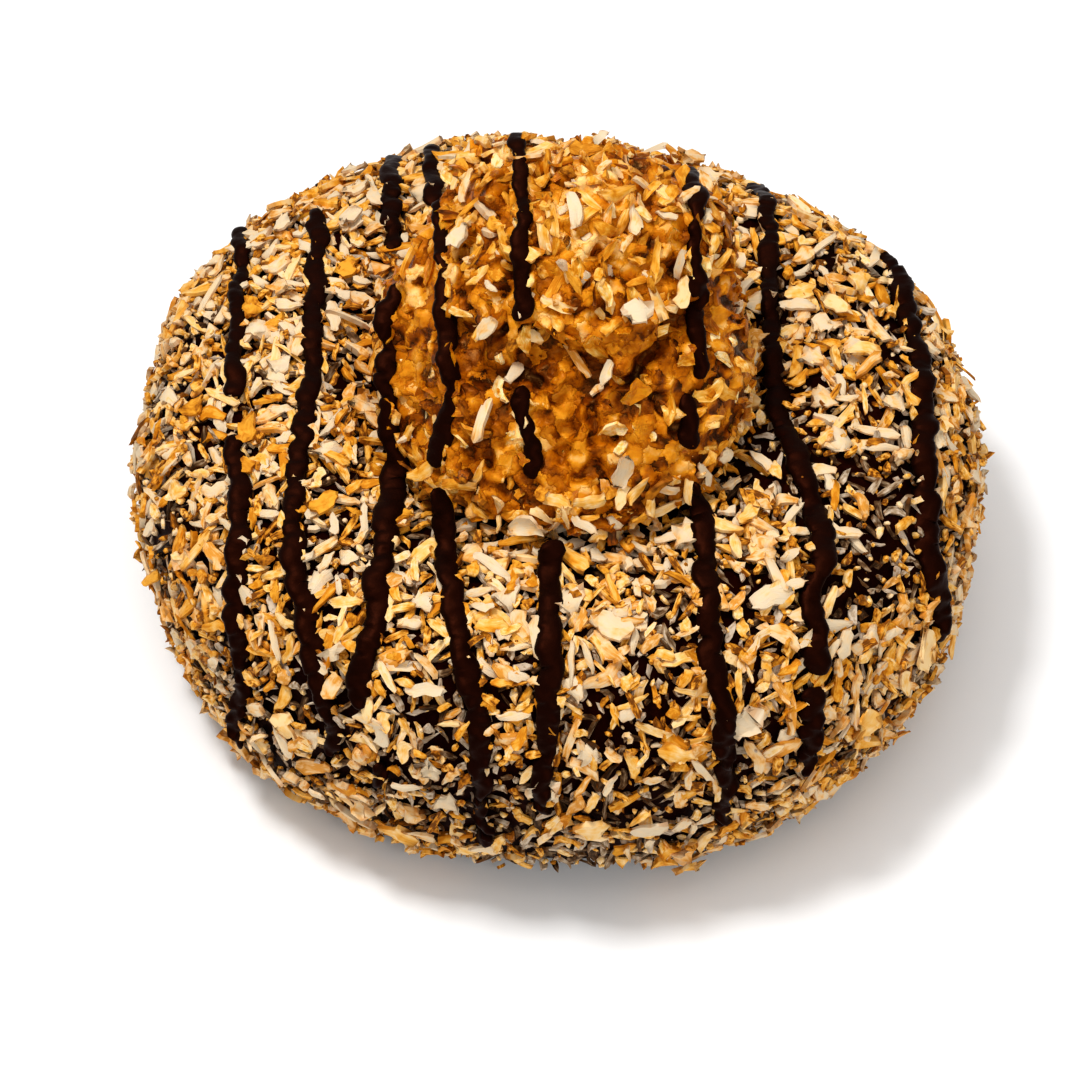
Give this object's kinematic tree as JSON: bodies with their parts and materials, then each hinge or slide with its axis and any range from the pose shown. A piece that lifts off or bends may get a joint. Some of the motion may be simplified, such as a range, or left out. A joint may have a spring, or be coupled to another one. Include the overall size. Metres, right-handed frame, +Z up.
{
  "type": "chocolate macaroon doughnut",
  "caption": "Chocolate-coated ring doughnut rolled in toasted coconut, with a coconut macaroon set over its hole and thin chocolate drizzle across the top.",
  "frame": {"origin": "on the surface it stands on, under the middle of the ring's bounding box", "axes": "+Z up through the doughnut's hole, -Y towards the side where the macaroon's split shows, +X to the right seen from there; the drizzle runs along Y"},
  "size_m": [0.095, 0.0896, 0.0632],
  "materials": {
    "chocolate": "dark chocolate coat, satin with soft glints",
    "toasted_coconut": "dry coconut flakes, cream to golden brown, dull",
    "macaroon": "moist golden macaroon, slightly translucent with tiny glints",
    "drizzle": "set dark chocolate drizzle, smooth and glossy"
  },
  "bodies": {
    "root": {"doughnut": "chocolate", "macaroon": "macaroon"}
  },
  "joints": []
}
